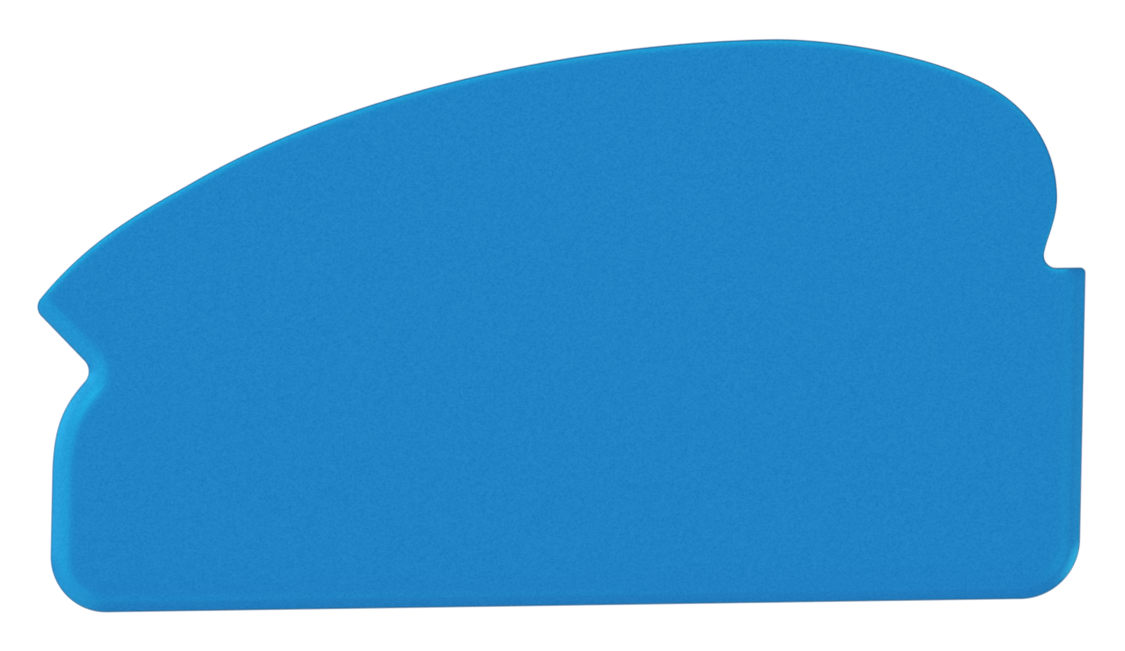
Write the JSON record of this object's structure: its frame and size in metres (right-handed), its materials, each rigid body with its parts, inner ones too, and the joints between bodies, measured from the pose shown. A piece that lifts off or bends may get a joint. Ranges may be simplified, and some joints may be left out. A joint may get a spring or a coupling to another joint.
{
  "type": "hand scraper",
  "caption": "Flexible one-piece plastic hand scraper: a thin flat blade with a curved back for the palm, a bevelled straight edge, a pointed tip and a square tab.",
  "frame": {"origin": "middle of the blade's length and depth, on the flat rear face that it lies on", "axes": "+X along the straight scraping edge, towards the square tab; +Y from the scraping edge towards the curved back; +Z out of the bevelled front face"},
  "size_m": [0.165, 0.0886, 0.002],
  "materials": {
    "blade_plastic": "fine spark-eroded matt grain, soft sheen"
  },
  "bodies": {
    "root": {"scraper_blade": "blade_plastic"}
  },
  "joints": []
}
